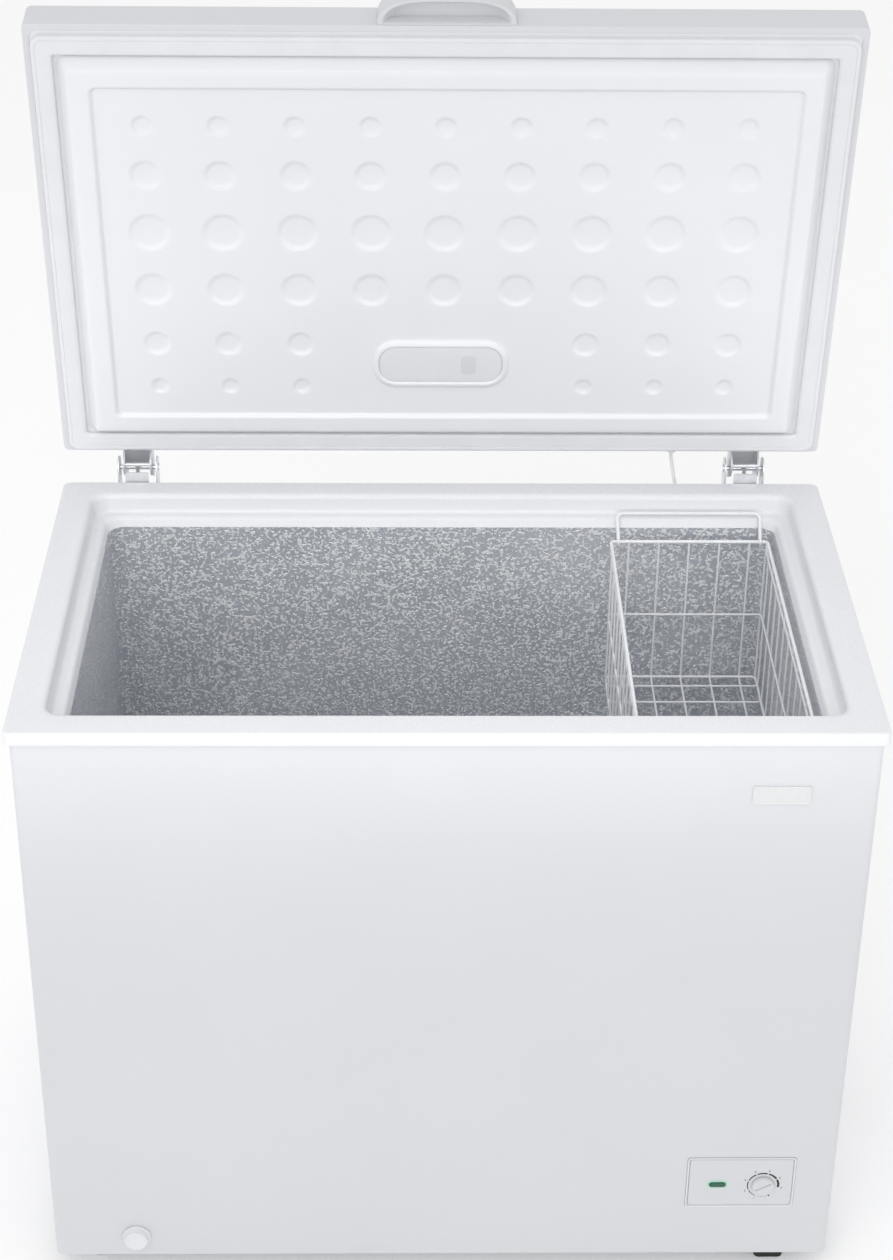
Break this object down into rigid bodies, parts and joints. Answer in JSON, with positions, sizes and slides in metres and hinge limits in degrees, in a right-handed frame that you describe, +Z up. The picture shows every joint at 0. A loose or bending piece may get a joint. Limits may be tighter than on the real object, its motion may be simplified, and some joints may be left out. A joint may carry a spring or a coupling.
{
  "type": "chest freezer",
  "caption": "Chest freezer with a spring-hinged insulated lid, stucco metal liner, hanging wire basket, control dial, drain and levelling foot.",
  "frame": {"origin": "on the floor, under the middle of the freezer's outline with its lid open", "axes": "+Z up, +X to the right as seen from the front, +Y towards the hinges at the back"},
  "size_m": [0.945, 0.651, 1.4236],
  "materials": {
    "white_case_paint": "satin",
    "back_paint": "satin",
    "galvanised_pan": "matte",
    "foam": "matte",
    "stucco_aluminium": "satin",
    "white_rim_plastic": "satin",
    "white_lid_plastic": "satin",
    "white_trim_plastic": "satin",
    "knob_plastic": "satin",
    "gasket_vinyl": "satin",
    "coil_metal": "satin",
    "black_tube_paint": "satin",
    "copper_pipe": "satin",
    "black_rubber": "matte",
    "relay_plastic": "matte",
    "green_lens": "gloss",
    "badge_metal": "satin",
    "drain_plastic": "matte",
    "zinc_steel": "satin",
    "bright_pin": "polished",
    "spring_steel": "satin",
    "screw_zinc": "satin",
    "lead_vinyl": "satin",
    "lamp_window": "satin",
    "circuit_board": "satin",
    "switch_metal": "satin",
    "basket_coating": "gloss"
  },
  "bodies": {
    "cabinet": {"outer_wrapper": "white_case_paint", "back_panel": "back_paint", "base_pan": "galvanised_pan", "cabinet_foam": "foam", "liner_tank": "stucco_aluminium", "top_rim": "white_rim_plastic", "vent_grille": "white_trim_plastic", "compressor_cover": "back_paint", "cover_screws": "screw_zinc", "power_inlet_gland": "black_rubber", "evaporator_coil": "coil_metal", "condenser_coil": "black_tube_paint", "compressor": "black_tube_paint", "compressor_grommets": "black_rubber", "compressor_bolts": "zinc_steel", "start_relay": "relay_plastic", "suction_pipe": "copper_pipe", "discharge_pipe": "copper_pipe", "filter_drier": "copper_pipe", "control_panel": "white_trim_plastic", "control_box_cover": "white_trim_plastic", "power_lamp": "green_lens", "thermostat_body": "relay_plastic", "badge_plate": "badge_metal", "drain_tube": "drain_plastic", "fixed_feet": "black_rubber", "foot_nut": "zinc_steel", "hinge_bracket_left": "zinc_steel", "hinge_bracket_right": "zinc_steel", "hinge_pin_left": "bright_pin", "hinge_pin_right": "bright_pin", "hinge_spring_left": "spring_steel", "hinge_spring_right": "spring_steel", "bracket_screws": "screw_zinc", "lead_grommet_cabinet": "lead_vinyl", "lamp_lead": "lead_vinyl"},
    "lid": {"lid_skin": "white_case_paint", "lid_foam": "foam", "lid_liner": "white_lid_plastic", "lid_gasket": "gasket_vinyl", "lid_handle": "white_trim_plastic", "lamp_bezel": "white_lid_plastic", "lamp_lens": "lamp_window", "lamp_housing": "white_lid_plastic", "lamp_board": "circuit_board", "tilt_switch": "switch_metal", "hinge_arm_left": "zinc_steel", "hinge_arm_right": "zinc_steel", "arm_screws": "screw_zinc", "lead_grommet_lid": "lead_vinyl"},
    "basket": {"basket": "basket_coating"},
    "basket_handle_front": {"basket_handle_front": "basket_coating"},
    "basket_handle_rear": {"basket_handle_rear": "basket_coating"},
    "control_knob": {"thermostat_knob": "knob_plastic", "thermostat_shaft": "bright_pin"},
    "drain_cap": {"drain_cap": "white_trim_plastic"},
    "drain_plug": {"drain_plug": "drain_plastic"},
    "levelling_foot": {"levelling_foot": "bright_pin"},
    "plunger_left": {"plunger_left": "bright_pin"},
    "plunger_right": {"plunger_right": "bright_pin"}
  },
  "joints": [
    {"name": "lid_hinge", "type": "hinge", "parent": "cabinet", "child": "lid", "pos_m": [0, 0.28062, 0.7931], "axis": [1, 0, 0], "range_deg": [0, 81.57], "stiffness_Nm_per_rad": 7.5, "springref_deg": -22.92, "deforming": ["lamp_lead"]},
    {"name": "plunger_slide_left", "type": "slide", "parent": "cabinet", "child": "plunger_left", "axis": [0, 0, 1], "range_m": [-0.0158, 0], "deforming": ["hinge_spring_left"]},
    {"name": "plunger_slide_right", "type": "slide", "parent": "cabinet", "child": "plunger_right", "axis": [0, 0, 1], "range_m": [-0.0158, 0], "deforming": ["hinge_spring_right"]},
    {"name": "basket_slide", "type": "slide", "parent": "cabinet", "child": "basket", "axis": [1, 0, 0], "range_m": [-0.6, 0]},
    {"name": "basket_handle_rear_fold", "type": "hinge", "parent": "basket", "child": "basket_handle_rear", "pos_m": [0, 0.18007, 0.742], "axis": [1, 0, 0], "range_deg": [0, 120]},
    {"name": "basket_handle_front_fold", "type": "hinge", "parent": "basket", "child": "basket_handle_front", "pos_m": [0, -0.23943, 0.742], "axis": [1, 0, 0], "range_deg": [-120, 0]},
    {"name": "temperature_knob_turn", "type": "hinge", "parent": "cabinet", "child": "control_knob", "pos_m": [0.382, -0.31708, 0.139], "axis": [0, 1, 0], "range_deg": [-150, 120]},
    {"name": "drain_cap_pull", "type": "slide", "parent": "cabinet", "child": "drain_cap", "axis": [0, -1, 0], "range_m": [0, 0.03]},
    {"name": "drain_plug_lift", "type": "slide", "parent": "cabinet", "child": "drain_plug", "axis": [0, 0, 1], "range_m": [0, 0.03]},
    {"name": "levelling_foot_turn", "type": "hinge", "parent": "cabinet", "child": "levelling_foot", "pos_m": [-0.4175, -0.27668, 0.02], "axis": [0, 0, 1], "continuous": true}
  ],
  "couplings": [
    {"joint": "plunger_slide_left", "follows": "lid_hinge", "m_per_rad": -0.011012},
    {"joint": "plunger_slide_right", "follows": "lid_hinge", "m_per_rad": -0.011012}
  ]
}
